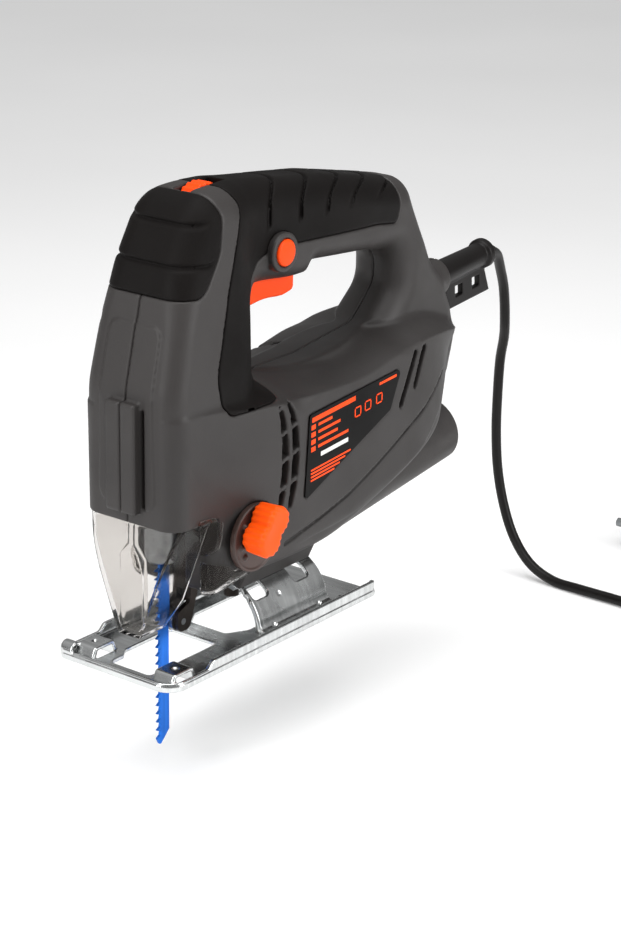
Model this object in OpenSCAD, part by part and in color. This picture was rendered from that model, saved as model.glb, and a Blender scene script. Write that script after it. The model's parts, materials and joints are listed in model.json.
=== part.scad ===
// Hand-held electric jigsaw. Millimetres. Origin: where the blade's middle line crosses the underside
// of the shoe. +X points to the rear, +Y to the tool's right and +Z up.

/* [Housing] */
// Width of the motor housing
body_w = 65; // [63:1:68]
// Width of the nose that holds the plunger
nose_w = 52; // [50:1:54]
// Width of the handle
handle_w = 38; // [34:1:40]
// Thickness of the housing wall, soft cover included
wall = 3; // [2.6:0.1:3.2]
// Thickness of the soft covers
cover_t = 1.6; // [1.2:0.1:1.8]

/* [Drive] */
// Blade stroke, top to bottom
stroke = 18; // [14:1:18]
// Diameter of the plunger
plunger_d = 9; // [8:0.5:9]
// Height of the drive gear's axle above the sole
gear_z = 104.3; // [104:0.1:104.5]
// Teeth on the drive gear
gear_teeth = 48; // [44:4:48]
// Teeth on the motor pinion
pinion_teeth = 8; // [8:1:8]
// Gear module
gear_module = 0.85; // [0.83:0.01:0.86]
// Running clearance on a radius
running = 0.05; // [0.03:0.01:0.08]

/* [Blade] */
// Width of the saw blade
blade_w = 8; // [7:0.5:8]
// Thickness of the saw blade
blade_t = 1.2; // [1:0.1:1.3]
// Distance from tooth to tooth
tooth_pitch = 4; // [3:0.5:4]
// How far the blade reaches below the sole at mid stroke
blade_below = 43; // [38:1:44]

/* [Shoe] */
// Width of the shoe
shoe_w = 65; // [62:1:66]
// Length of the shoe
shoe_len = 145; // [140:1:146]
// How far the shoe reaches ahead of the blade
shoe_front = 31; // [30:1:32]
// Sheet thickness of the shoe
sheet = 2; // [1.5:0.25:2]
// Height of the turned-up side flanges
flange_h = 7; // [5:0.5:7]
// Outer radius of the arched bevel bracket
arch_r = 23; // [22:0.5:23]

/* [Cord] */
// Diameter of the mains lead
cord_d = 5.2; // [4.8:0.2:6]
// Height of the bench that the lead lies on
bench_z = -55; // [-60:1:-54]

/* [Hidden] */
$fn = 64;
eps = 0.01;
arc_steps = 5;                 // straight pieces in a rounded corner of an outline

nose_x = -21.5;                // front face of the nose
nose_z = 68;                   // underside of the nose
chin_x = 6.5;                  // front of the lower housing, behind the blade
belly_z = 31;                  // underside of the lower housing
rear_x = 206;                  // rear end of the motor housing
tube_slope = 7.3;              // the dust tube rises to the rear by this angle
tube_start = [96, 0, 38.5];
tube_len = 107;
tube_r = 16.5;
tube_bore_r = 14;

centre_distance = gear_module * (gear_teeth + pinion_teeth) / 2;
motor_z = gear_z - centre_distance;
crank_r = stroke / 2;
crank_pin_r = 3.5;
stator_r = 24;
clamp_bottom_z = 44.5;         // where the blade enters its clamp
clamp_top_z = 60;
plunger_top_z = 154;

tilt_z = 1.5;                  // height of the bevel axis
slot_half_angle = 50.5;        // the bracket's slots let it tilt 45 degrees past the screws
screw_x = [48, 77];            // the two bracket screws
shoe_rear = shoe_len - shoe_front;

trigger_pivot = [80, 0, 160];
lock_at = [59, 0, 173.4];
dial_at = [26, 0, 194.5];
dial_r = 13;
knob_at = [26, 0, 55];
knob_shaft_r = 3.5;
eccentric_r = 4.5;             // inner end of the knob's shaft
eccentric_shift = 1.2;
eccentric_gap = 0.5;
scale_r = 15.5;
fork_at = [20, 0, 50];
roller_at = [8.35, 0, 14];

boot_at = [188, 0, 128.2];     // start of the cord boot, inside the rear wall
boot_rise = 5;                 // the boot points up by this angle
boot_len = 56;

// Outlines: each corner is [x, y, radius], listed anticlockwise.
function unit(v) = v / norm(v);
function corner_arc(before, corner, after, r) =
    let (a = unit(before - corner), b = unit(after - corner), half = acos(a * b) / 2,
         centre = corner + unit(a + b) * r / sin(half),
         from = corner + a * r / tan(half) - centre, to = corner + b * r / tan(half) - centre)
    [for (i = [0 : arc_steps]) centre + r * unit(from * (arc_steps - i) + to * i)];
function outline(corners) =
    let (n = len(corners), at = [for (c = corners) [c[0], c[1]]])
    [for (i = [0 : n - 1])
        each corners[i][2] == 0 ? [at[i]]
            : corner_arc(at[(i + n - 1) % n], at[i], at[(i + 1) % n], corners[i][2])];
function mirrored(corners) =
    concat(corners, [for (i = [len(corners) - 1 : -1 : 0]) [-corners[i][0], corners[i][1], corners[i][2]]]);
function inset(path, d) =
    let (n = len(path))
    [for (i = [0 : n - 1])
        let (a = unit(path[i] - path[(i + n - 1) % n]), b = unit(path[(i + 1) % n] - path[i]),
             na = [-a.y, a.x], nb = [-b.y, b.x])
        path[i] + (na + nb) * d / (1 + na * nb)];

shell_side = outline([
    [chin_x, belly_z, 3], [96, belly_z, 8], [178, 63, 20], [202, 84, 10], [rear_x, 104, 12],
    [198, 131, 10], [184, 146, 14], [172, 168, 14], [161, 187, 14], [100, 199, 60], [36, 207, 20],
    [6, 206, 20], [-9, 178, 40], [nose_x, 126, 40], [nose_x, nose_z, 1], [chin_x, nose_z, 0.5]
]);
hand_hole = outline([
    [49, 117, 12], [92, 117, 60], [134, 122, 12], [151, 138, 10], [151, 154, 9], [122, 159, 20], [49, 158, 4]
]);
body_plan = outline([
    [nose_x, -nose_w / 2, 10], [45, -body_w / 2, 40], [150, -body_w / 2, 40], [rear_x + 1, -20, 16],
    [rear_x + 1, 20, 16], [150, body_w / 2, 40], [45, body_w / 2, 40], [nose_x, nose_w / 2, 10]
]);
body_front = outline(mirrored([
    [20, belly_z - 1, 3], [28, 38, 6], [body_w / 2, 52, 8], [body_w / 2, 98, 8], [27, 112, 6], [19, 118, 6]
]));
nose_plan = outline([
    [nose_x, -nose_w / 2, 10], [28, -nose_w / 2, 20], [51, -handle_w / 2, 6],
    [51, handle_w / 2, 6], [28, nose_w / 2, 20], [nose_x, nose_w / 2, 10]
]);
nose_front = outline(mirrored([[nose_w / 2, 60, 0], [nose_w / 2, 140, 30], [21.5, 207.5, 12]]));
handle_front = outline(mirrored([[handle_w / 2, -112, 0], [handle_w / 2, 0, 13]]));

module along_y(path, w) { rotate([90, 0, 0]) linear_extrude(w, center = true) polygon(path); }
module along_z(path, from, to) { translate([0, 0, from]) linear_extrude(to - from) polygon(path); }
module along_x(path, from, to) {
    translate([from, 0, 0]) rotate([90, 0, 90]) linear_extrude(to - from) polygon(path);
}
module rod_x(r, from, to) { translate([from, 0, 0]) rotate([0, 90, 0]) cylinder(h = to - from, r = r); }
module rod_y(r, from, to) { translate([0, from, 0]) rotate([-90, 0, 0]) cylinder(h = to - from, r = r); }
module slab(low, high) { translate(low) cube(high - low); }
module left_half() { intersection() { children(); slab([-40, -60, 0], [260, 0, 260]); } }
module right_half() { intersection() { children(); slab([-40, 0, 0], [260, 60, 260]); } }
module in_tube_line() { translate(tube_start) rotate([0, 90 - tube_slope, 0]) children(); }
module in_boot_line() { translate(boot_at) rotate([0, 90 - boot_rise, 0]) children(); }

// The housing's outer form, shrunk all round by d.
module form(d) {
    difference() {
        intersection() {
            along_y(inset(shell_side, d), body_w + 2);
            union() {
                intersection() {
                    along_z(inset(body_plan, d), 20, 130);
                    along_x(inset(body_front, d), -40, 220);
                }
                intersection() {
                    along_z(inset(nose_plan, d), 60, 220);
                    along_x(inset(nose_front, d), -40, 60);
                }
                translate([28, 0, 207.8]) rotate([0, 7, 0]) along_x(inset(handle_front, d), 0, 190);
            }
        }
        along_y(inset(hand_hole, -d), 90);
    }
}

grip_side = outline([
    [10, 111, 3], [46, 112, 2], [56, 118, 4], [48, 132, 8], [48, 150, 10], [43, 166, 4], [52, 178, 6],
    [72, 174, 4], [128, 172, 8], [150, 179, 8], [150, 215, 0], [24, 215, 0], [28, 200, 4], [17, 166, 30],
    [7, 130, 20]
]);
pad_side = outline([
    [-40, 166, 0], [-4, 166, 6], [9, 177, 8], [15, 198, 5], [13.5, 208, 3], [13.5, 220, 0], [-40, 220, 0]
]);
module skin(side) { intersection() { difference() { form(0); form(cover_t); } along_y(side, 90); } }

screw_spots = [
    [-9.6, 152], [-12, 78], [60, 38.5], [104, 112], [171, 74], [189, 104], [168, 150], [104, 166], [45, 195]
];
module each_screw_spot() { for (s = screw_spots) translate([s[0], 0, s[1]]) children(); }
module screw_bosses(from, to) {
    intersection() { each_screw_spot() rod_y(3.4, from, to); form(cover_t + 0.2); }
}

// Ribs that carry the stator and the rear bearing.
module motor_ribs() {
    intersection() {
        form(1);
        union() {
            slab([68, -40, 36], [71, 40, 112]);
            slab([100, -40, 36], [103, 40, 112]);
            slab([150, -40, 48], [156, 40, 112]);
        }
    }
}
// Bosses that hold the pin of the pendulum fork.
module fork_bosses() {
    intersection() {
        form(1);
        union() for (side = [-1, 1]) slab([17, side * 20 - 13.8, 46], [23, side * 20 + 13.8, 54]);
    }
}
module vent_row(side) {
    for (column = [0, 1], row = [0 : 3])
        translate([43 + 6.5 * column, side * (body_w / 2 - 1), 69 + 11.5 * row - 1.5 * column])
            rotate([0, 4, 0]) cube([3.2, 8, 9], center = true);
    for (slot = [0, 1])
        translate([138 + 9 * slot, side * (body_w / 2 - 2), 100 + 4 * slot])
            rotate([0, 26, 0]) cube([3.4, 12, 28 - 6 * slot], center = true);
}
module trigger_opening() { slab([43.3, -7.6, 140], [84.5, 7.6, 168]); }
module housing_hollows() {
    difference() { form(wall); motor_ribs(); fork_bosses(); }
    slab([-13, -11, nose_z - 3], [chin_x + 6, 11, nose_z + wall + 1]);          // plunger opening
    slab([chin_x - 4, -7.5, belly_z - 3], [chin_x + 17, 7.5, nose_z + 1]);      // fork opening
    trigger_opening();
    slab([dial_at.x - 11.5, -4.7, 196], [dial_at.x + 11.5, 4.7, 215]);          // speed dial opening
    translate([0, 0, motor_z]) rod_x(stator_r, 60, 112);
    translate([0, 0, motor_z]) rod_x(9.5, 149, 157);
    translate([0, 0, motor_z]) rod_x(4.5, 100, 190);
    translate(trigger_pivot) rod_y(1.5, -10, 10);
    translate(fork_at) rod_y(2, -12, 12);
    in_tube_line() translate([0, 0, -1]) cylinder(h = tube_len + 20, r = tube_r);
    in_boot_line() translate([0, 0, -2]) cylinder(h = boot_len, r = 5.3);
    translate(lock_at) rod_y(6.1, -40, -4);
    translate(knob_at) {
        rod_y(scale_r, -40, -29.5);
        rod_y(knob_shaft_r + running, -40, -10);
        rod_y(eccentric_r + eccentric_shift + eccentric_gap, -16, -11);
    }
    vent_row(-1);
    vent_row(1);
}
module shell() {
    difference() {
        form(0);
        housing_hollows();
        along_y_skin(grip_side);
        along_y_skin(pad_side);
    }
}
module along_y_skin(side) { difference() { along_y(side, 90); form(cover_t); } }

module housing_left() {
    color("#4f4a48") union() {
        difference() {
            left_half() { shell(); screw_bosses(-40, 0); }
            each_screw_spot() rod_y(1.5, -14, 1);
        }
        translate(lock_at) difference() { rod_y(8.6, -20.5, -17.5); rod_y(6.1, -21, -17); }
    }
}
module housing_right() {
    color("#4f4a48") difference() {
        union() { right_half() shell(); right_half() screw_bosses(0, 40); }
        each_screw_spot() { rod_y(1.5, -1, 40); rod_y(3, 12, 40); }
    }
}
module housing_screws() {
    color("#8d9093") each_screw_spot() { rod_y(1.5, -13.9, 12.1); rod_y(2.9, 12, 14.2); }
}
module grip_part() { difference() { skin(grip_side); soft_cover_gaps(); } }
module pad_part() { difference() { skin(pad_side); soft_cover_gaps(); } }
module soft_cover_gaps() {
    trigger_opening();
    slab([dial_at.x - 11.5, -4.7, 180], [dial_at.x + 11.5, 4.7, 215]);
    translate(lock_at) rod_y(8.6, -40, -4);
    each_screw_spot() rod_y(3, 12, 40);
}
module grip_left() { color("#1f1b19") left_half() grip_part(); }
module grip_right() { color("#1f1b19") right_half() grip_part(); }
module nose_pad_left() { color("#1f1b19") left_half() pad_part(); }
module nose_pad_right() { color("#1f1b19") right_half() pad_part(); }
label_side = outline([[60, 65, 1.5], [122, 89, 2], [128, 104, 2], [62, 102, 1.5]]);
module rating_label() {
    color("#12100f") translate([0, -body_w / 2 - 0.2, 0]) along_y(label_side, 0.4);
}

// Drive train: bearings, gear pair, crank and plunger.
module gearcase() {
    color("#a8abad") difference() {
        union() {
            along_x(outline(mirrored([[20.5, 61, 3], [20.5, 141, 4]])), 27, 33);
            along_x(outline(mirrored([[27.4, 65, 2], [27.4, 97, 2]])), 27, 33);
            slab([-8, -9, 134], [28, 9, 141]);
            slab([-8, -9, nose_z + wall + 0.2], [28, 9, 75.6]);
        }
        translate([0, 0, motor_z]) rod_x(9.5, 26, 34);
        translate([0, 0, gear_z]) rod_x(3, 26, 34);
        translate([0, 0, 60]) cylinder(h = 100, r = 7);
        translate(knob_at) rod_y(8, -40, -8);
        each_screw_spot() rod_y(3.6, -40, 40);
    }
}
module bush(from, to) {
    translate([0, 0, from]) difference() {
        cylinder(h = to - from, r = 7);
        translate([0, 0, -1]) cylinder(h = to - from + 2, r = plunger_d / 2 + running);
    }
}
module upper_bush() { color("#b08d57") bush(132, 142); }
module lower_bush() { color("#b08d57") bush(nose_z + wall + 0.2, 79); }
module felt_wiper() { color("#6d675d") bush(79, 82); }
module gear_axle() { color("#9aa0a4") translate([0, 0, gear_z]) rod_x(3, 12.5, 33); }
module ball_bearing(x) {
    translate([x, 0, motor_z]) rotate([0, 90, 0]) difference() {
        cylinder(h = 6, r = 9.5);
        translate([0, 0, -1]) cylinder(h = 8, r = 3 + running);
        for (end = [-1, 5.4]) translate([0, 0, end]) difference() {
            cylinder(h = 1.6, r = 7.6);
            cylinder(h = 1.6, r = 5);
        }
    }
}
module front_bearing() { color("#9aa0a4") ball_bearing(27); }
module rear_bearing() { color("#9aa0a4") ball_bearing(150); }

// A toothed outline with straight flanks, thinned for backlash.
function gear_path(teeth, phase) =
    let (r = gear_module * teeth / 2, pitch = 360 / teeth)
    [for (i = [0 : teeth - 1], p = [[-0.36, -1.2], [-0.14, 0.75], [0.14, 0.75], [0.36, -1.2]])
        let (a = (i + phase + p[0]) * pitch, d = r + p[1] * gear_module) [d * cos(a), d * sin(a)]];
module drive_gear() {
    color("#80858a") translate([0, 0, gear_z]) difference() {
        union() {
            along_x(gear_path(gear_teeth, 0.5), 14, 20);
            rod_x(6, 20 - eps, 26.8);
        }
        rod_x(3 + running, 13, 28);
        translate([0, crank_r, 0]) rod_x(crank_pin_r, 10, 18);
        for (a = [45 : 90 : 315]) rotate([a, 0, 0]) translate([0, 13.5, 0]) rod_x(3, 13, 21);
    }
}
module crank_pin() { color("#9aa0a4") translate([0, crank_r, gear_z]) rod_x(crank_pin_r, 10.4, 18); }
module plunger() { color("#9aa0a4") translate([0, 0, 52]) cylinder(h = plunger_top_z - 52, r = plunger_d / 2); }
module yoke() {
    color("#80858a") difference() {
        slab([-6, -16, gear_z - 8], [10.1, 16, gear_z + 8]);
        slab([5.2, -13, gear_z - 3.6], [11, 13, gear_z + 3.6]);
        translate([0, 0, gear_z - 20]) cylinder(h = 40, r = plunger_d / 2);
        for (side = [-1, 1]) translate([-7, side * 11 - 5, gear_z - 9]) cube([11, 10, 18]);
    }
}
module blade_clamp() {
    color("#b9bcbe") difference() {
        union() {
            translate([0, 0, clamp_bottom_z + 1]) cylinder(h = clamp_top_z - clamp_bottom_z - 1, r = 7);
            translate([0, 0, clamp_bottom_z]) cylinder(h = 1, r1 = 6, r2 = 7);
        }
        translate([0, 0, 52]) cylinder(h = 20, r = plunger_d / 2);
        slab([-3.2, -blade_t / 2 - 0.1, 40], [3.2, blade_t / 2 + 0.1, 53]);
        translate([0, 0, 48]) rod_y(2, -10, 10);
    }
}
module clamp_screws() {
    color("#3d3f42") for (side = [-1, 1]) translate([0, side * 3.85, 48])
        difference() {
            rod_y(2, -2.75, 2.75);
            translate([0, side * 2.75, 0]) rotate([90, 0, 0]) cylinder(h = 3, r = 1.1, center = true, $fn = 6);
        }
}
blade_front = -blade_w / 2;
blade_back = blade_w / 2;
tooth_from = -blade_below + 3;
tooth_count = floor((clamp_bottom_z - 3 - tooth_from) / tooth_pitch) + 1;
module saw_blade() {
    teeth = [for (i = [tooth_count - 1 : -1 : 0], p = [[2.3, tooth_pitch - 0.8], [1.9, 1.2], [0, 0]])
        [blade_front + p[0], tooth_from + i * tooth_pitch + p[1]]];
    tip = [[blade_front + 1.6, -blade_below], [blade_front + 2.6, -blade_below], [blade_back, -blade_below + 5.5]];
    top = [[blade_back, clamp_bottom_z - 0.1], [3, clamp_bottom_z - 0.1], [3, 51.8], [-3, 51.8], [-3, clamp_bottom_z - 0.1],
        [blade_front + 2.3, clamp_bottom_z - 0.1]];
    color("#2f7bd6") along_y(concat(tip, top, teeth), blade_t);
}

// Motor.
module motor_shaft() {
    color("#9aa0a4") translate([0, 0, motor_z]) {
        along_x(gear_path(pinion_teeth, 0), 13.5, 22.5);
        rod_x(2.3, 13.5, 24);
        rod_x(3, 22.5, 160);
    }
}
module on_shaft(r, from, to) {
    translate([0, 0, motor_z]) difference() {
        rod_x(r, from, to);
        rod_x(3, from - 1, to + 1);
    }
}
module armature_core() {
    color("#6f7377") difference() {
        on_shaft(16, 66, 106);
        translate([0, 0, motor_z]) for (a = [0 : 30 : 330]) rotate([a, 0, 0]) slab([65, 13.5, -0.9], [107, 17, 0.9]);
    }
}
module armature_winding() { color("#b8682d") { on_shaft(14, 58, 66); on_shaft(14, 106, 114); } }
module commutator() {
    color("#c08040") difference() {
        on_shaft(9, 118, 132);
        translate([0, 0, motor_z]) for (a = [0 : 30 : 330]) rotate([a, 0, 0]) slab([120, 8.4, -0.3], [133, 10, 0.3]);
    }
}
fan_blades = 12;
module fan() {
    color("#2b2b2d") {
        on_shaft(24, 50, 52);
        on_shaft(8, 41, 50);
        translate([0, 0, motor_z]) for (i = [0 : fan_blades - 1])
            rotate([i * 360 / fan_blades, 0, 0]) slab([41, 7.8, -0.7], [50, 23.5, 0.7]);
    }
}
module ring_x(inner, outer, from, to, angle) {
    translate([from, 0, motor_z]) rotate([0, 90, 0]) rotate([0, 0, -angle / 2])
        rotate_extrude(angle = angle) translate([inner, 0]) square([outer - inner, to - from]);
}
module coil_sides(grow) {
    for (pole = [0, 180], side = [-62, 62]) translate([0, 0, motor_z]) rotate([pole + side, 0, 0])
        translate([0, 0, -motor_z]) ring_x(17.6 - grow, 22 + grow, 65, 107, 18 + 2 * grow);
}
module stator_core() {
    color("#5f6468") difference() {
        translate([0, 0, motor_z]) difference() { rod_x(stator_r, 66, 106); rod_x(16.8, 65, 107); }
        coil_sides(0.2);
    }
}
module field_coils() {
    color("#b8682d") {
        for (pole = [0, 180], x = [57, 106.5]) translate([0, 0, motor_z]) rotate([pole, 0, 0])
            translate([0, 0, -motor_z]) ring_x(17.6, 23, x, x + 8.5, 144);
        coil_sides(0);
    }
}
module brush_holders() {
    color("#c9a24b") for (side = [-1, 1]) translate([121, side * 17.5, motor_z]) difference() {
        translate([0, -7, -4.5]) cube([8, 14, 9]);
        translate([1, -8, -3.5]) cube([6, 16, 7]);
    }
}
module carbon_brushes() {
    color("#242424") for (side = [-1, 1]) translate([122.1, side * 15.2 - 6, motor_z - 3.4]) cube([5.8, 12, 6.8]);
}

// Controls.
module switch_body() {
    color("#1c1c1e") { slab([54, -8, 169], [92, 8, 188]); slab([92, -6, 174], [100, 6, 184]); }
}
module trigger_pin() { color("#9aa0a4") translate(trigger_pivot) rod_y(1.5, -10, 10); }
module trigger() {
    color("#ff3c05") difference() {
        along_y(outline([[46, 149, 2], [71, 149.5, 6], [80, 155, 3], [83, 159, 2], [82, 163.2, 1], [46, 163.2, 1]]), 14);
        translate(trigger_pivot) rod_y(1.5 + running, -10, 10);
    }
}
module lock_button() { color("#ff3c05") translate(lock_at) rod_y(6, -22, -11.6); }
module speed_control() {
    color("#1c1c1e") { slab([17, 5.2, 186], [35, 14, 199]); translate(dial_at) rod_y(2, -5, 5.3); }
}
module speed_dial() {
    color("#ff3c05") translate(dial_at) difference() {
        rod_y(dial_r, -4, 4);
        rod_y(2 + running, -5, 5);
        for (i = [0 : 11]) rotate([0, i * 30, 0]) translate([dial_r + 0.5, 0, 0]) rod_y(1.2, -5, 5);
    }
}
module pendulum_scale() {
    color("#5a4642") translate(knob_at) difference() {
        rod_y(scale_r, -32.6, -29.5);
        rod_y(knob_shaft_r + running, -40, -10);
    }
}
knob_lobes = [[-5, 3.5], [-2.5, 6.5], [0.5, 10]];
module pendulum_knob() {
    color("#ff6a20") translate(knob_at) difference() {
        union() {
            rod_y(6, -45, -32.9);
            for (lobe = knob_lobes) translate([lobe[0], 0, lobe[1]]) rod_y(7.5, -45, -32.9);
        }
        rod_y(knob_shaft_r, -40, -30);
    }
}
module knob_shaft() {
    color("#80858a") translate(knob_at) {
        rod_y(knob_shaft_r, -40, -12);
        translate([eccentric_shift, 0, 0]) rod_y(eccentric_r, -15, -12);
    }
}
module fork_pin() { color("#9aa0a4") translate(fork_at) rod_y(2, -12, 12); }
fork_side = outline([
    [13, 22, 3], [15, 55, 4], [25, 56, 4], [25, 46, 4], [18, 26, 6], [12.5, 9.5, 3], [4.6, 9.5, 3], [4.6, 19, 3]
]);
module pendulum_fork() {
    color("#2c2724") difference() {
        along_y([for (i = [len(fork_side) - 1 : -1 : 0]) fork_side[i]], 11);
        translate(fork_at) rod_y(2 + running, -9, 9);
        translate(roller_at) rod_y(1.5, -9, 9);
        slab([0, -3.3, 5], [16, 3.3, 27]);
    }
}
module roller_pin() { color("#9aa0a4") translate(roller_at) rod_y(1.5, -5.5, 5.5); }
module guide_roller() {
    color("#80858a") translate(roller_at) rotate([90, 0, 0]) rotate_extrude()
        polygon([[1.5 + running, -3], [5, -3], [5, -1], [4.2, -0.8], [4.2, 0.8], [5, 1], [5, 3], [1.5 + running, 3]]);
}

// Blade guard and dust tube.
guard_top_z = nose_z - 0.1;
guard_bottom_z = 15.4;
guard_front = outline(mirrored([[5, guard_bottom_z, 2], [18, 30, 3], [25, 45, 6], [26.4, 80, 0]]));
module guard_form(d, side) {
    intersection() {
        along_x(inset(guard_front, d), -40, 40);
        along_z(inset(outline([[nose_x, -27, 11], [6, -27, 0], [6, 27, 0], [nose_x, 27, 11]]), d), 0, 100);
        along_y(side, 80);
    }
}
guard_side = [
    [-19.5, guard_bottom_z], [-6, guard_bottom_z], [2, 28], [2, guard_top_z], [nose_x, guard_top_z], [nose_x, 60]
];
guard_inside = [[-17.9, guard_bottom_z + 1.6], [10, guard_bottom_z + 1.6], [10, 80], [-19.9, 80], [-19.9, 60]];
module blade_guard() {
    color([0.85, 0.9, 0.92, 0.4]) difference() { guard_form(0, guard_side); guard_form(1.6, guard_inside); }
}
module dust_tube() {
    color("#4f4a48") in_tube_line() difference() {
        cylinder(h = tube_len, r = tube_r);
        translate([0, 0, 4]) cylinder(h = tube_len, r = tube_bore_r);
    }
}

// Shoe with its arched bevel bracket.
window = outline([[-13, -12.5, 3], [20.5, -12.5, 2], [20.5, 12.5, 2], [-13, 12.5, 3]]);
rear_window = outline([[31.5, -10, 2], [41, -15.5, 3], [92, -15.5, 3], [92, 15.5, 3], [41, 15.5, 3], [31.5, 10, 2]]);
module base_plate() {
    w = shoe_w / 2;
    color("#b4b8bc") difference() {
        union() {
            along_z(outline([
                [-shoe_front, -w, 9], [shoe_rear, -w, 1], [shoe_rear, w, 1], [-shoe_front, w, 9]
            ]), 0, sheet);
            for (side = [-1, 1]) {
                slab([6, side * (w - 1) - 1, 0], [shoe_rear, side * (w - 1) + 1, flange_h]);
                translate([-21, side * 24.5, 0]) guide_loop();
            }
            slab([-shoe_front, 9 - w, 0], [-shoe_front + 2, w - 9, 6]);
        }
        along_z(window, -1, 5);
        along_z(rear_window, -1, 5);
        translate([103, 0, -1]) {
            for (end = [-3, 3]) translate([end, 0, 0]) cylinder(h = 5, r = 2.75);
            slab([-3, -2.75, 0], [3, 2.75, 5]);
        }
    }
}
module guide_loop() {
    difference() {
        along_y([[-9, 1], [9, 1], [7.5, sheet + 5], [-7.5, sheet + 5]], 11);
        along_y([[-7, sheet], [7, sheet], [6, sheet + 3.7], [-6, sheet + 3.7]], 15);
    }
}
module arch(inner, outer, from, to, half_angle) {
    translate([from, 0, tilt_z]) rotate([0, 90, 0]) rotate([0, 0, 180 - half_angle])
        rotate_extrude(angle = 2 * half_angle) translate([inner, 0]) square([outer - inner, to - from]);
}
module bevel_bracket() {
    color("#b4b8bc") difference() {
        union() {
            intersection() { arch(arch_r - 2.5, arch_r, 40, 90, 90); slab([30, -30, sheet], [100, 30, 40]); }
            for (side = [-1, 1]) slab([40, side * 25.2 - 3.8, sheet], [90, side * 25.2 + 3.8, sheet + 1.8]);
        }
        for (x = screw_x) arch(arch_r - 5, arch_r + 2, x - 5.5, x + 5.5, slot_half_angle);
    }
}
module bracket_seat() {
    color("#34302e") difference() {
        slab([38, -13, 18], [96, 13, belly_z]);
        translate([0, 0, tilt_z]) rod_x(arch_r + 0.2, 30, 100);
        for (x = screw_x) translate([x, 0, 10]) cylinder(h = 40, r = 2);
    }
}
module clamp_plate() {
    color("#80858a") difference() {
        arch(arch_r - 5.5, arch_r - 2.7, 42, 83, 20);
        for (x = screw_x) translate([x, 0, 10]) cylinder(h = 40, r = 2);
    }
}
module bracket_screws() {
    color("#3d3f42") for (x = screw_x) translate([x, 0, 0]) difference() {
        union() {
            translate([0, 0, 14]) cylinder(h = belly_z - 14, r = 2);
            translate([0, 0, 13]) cylinder(h = 5, r = 3.5);
        }
        translate([0, 0, 12]) cylinder(h = 4, r = 1.7, $fn = 6);
    }
}

// Mains lead: boot, free stretch, coil, tie and plug.
module cord_boot() {
    color("#161413") difference() {
        union() {
            in_boot_line() {
                cylinder(h = boot_len - 4, r = 5.3);
                translate([0, 0, boot_len - 5]) cylinder(h = 5, r1 = 5.3, r2 = 7.6);
            }
            in_boot_line() translate([0, 0, -1.5]) cylinder(h = 3, r = 8);
            in_boot_line() difference() {
                translate([3, -1.4, 22]) cube([17, 2.8, 35]);
                for (z = [29, 44]) translate([9, -2, z]) cube([5, 4, 6]);
            }
        }
        in_boot_line() translate([0, 0, -3]) cylinder(h = boot_len + 10, r = cord_d / 2 + running);
    }
}
module cord_clamp() {
    color("#1c1c1e") difference() {
        in_boot_line() translate([-4.5, -9, -14]) cube([9, 18, 8]);
        in_boot_line() translate([0, 0, -20]) cylinder(h = 20, r = cord_d / 2);
    }
}
cord_r = cord_d / 2;
lay_z = bench_z + cord_r;      // height of the lead's centre where it lies on the bench
function boot_point(s) = boot_at + s * [cos(boot_rise), 0, sin(boot_rise)];
coil_at = [330, -104];
coil_mean_r = 28;
coil_rings = 4;                // turns side by side
coil_layers = 2;
coil_inner_r = coil_mean_r - coil_rings * cord_r;
coil_outer_r = coil_mean_r + coil_rings * cord_r;
route = [
    boot_point(-12), boot_point(10), boot_point(34), boot_point(56), [251, 0, 132], [258, 1.5, 128],
    [267, 5, 118], [274, 7.5, 108], [278, 9, 98], [282, 11, 87], [288, 15, 76], [293, 20, 62],
    [295, 22, 45], [295, 22, 22], [295, 20, 0], [295, 15, -20], [294, 7, -36], [292, -5, -47],
    [291, -20, lay_z], [290, -38, lay_z], [290, -60, lay_z], [289, -82, lay_z], [289, -104, lay_z]
];
tail_route = [[371, -106, lay_z], [371, -98, lay_z], [373.4, -89, lay_z], [374, -80.25, lay_z]];
function spline_at(p, i, t) =
    let (n = len(p) - 1, a = p[max(i - 1, 0)], b = p[i], c = p[i + 1], d = p[min(i + 2, n)])
    0.5 * (2 * b + (c - a) * t + (2 * a - 5 * b + 4 * c - d) * t * t + (3 * b - a - 3 * c + d) * t * t * t);
function spline(p, steps) =
    concat([for (i = [0 : len(p) - 2], s = [0 : steps - 1]) spline_at(p, i, s / steps)], [p[len(p) - 1]]);
module tube(points, r, sides) {
    n = len(points);
    t = [for (i = [0 : n - 1]) unit(points[min(i + 1, n - 1)] - points[max(i - 1, 0)])];
    across = [for (i = 0, a = [1, 1, 0]; i < n; i = i + 1, a = i < n ? unit(a - (a * t[i]) * t[i]) : a) a];
    ring = [for (i = [0 : n - 1], k = [0 : sides - 1])
        let (u = unit(across[i] - (across[i] * t[i]) * t[i]), v = cross(t[i], u), a = 360 * k / sides)
        points[i] + r * (cos(a) * u + sin(a) * v)];
    walls = [for (i = [0 : n - 2], k = [0 : sides - 1])
        let (k2 = (k + 1) % sides) [i * sides + k, (i + 1) * sides + k, (i + 1) * sides + k2, i * sides + k2]];
    ends = [[for (k = [0 : sides - 1]) k], [for (k = [sides - 1 : -1 : 0]) (n - 1) * sides + k]];
    polyhedron(ring, concat(walls, ends));
}
module cord() { color("#161413") tube(spline(route, 2), cord_r, 10); }
module cord_tail() { color("#161413") tube(spline(tail_route, 2), cord_r, 10); }
module cord_coil() {
    color("#161413") translate([coil_at.x, coil_at.y, bench_z])
        rotate_extrude() translate([coil_inner_r, 0]) square([coil_outer_r - coil_inner_r, coil_layers * cord_d]);
}
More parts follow.
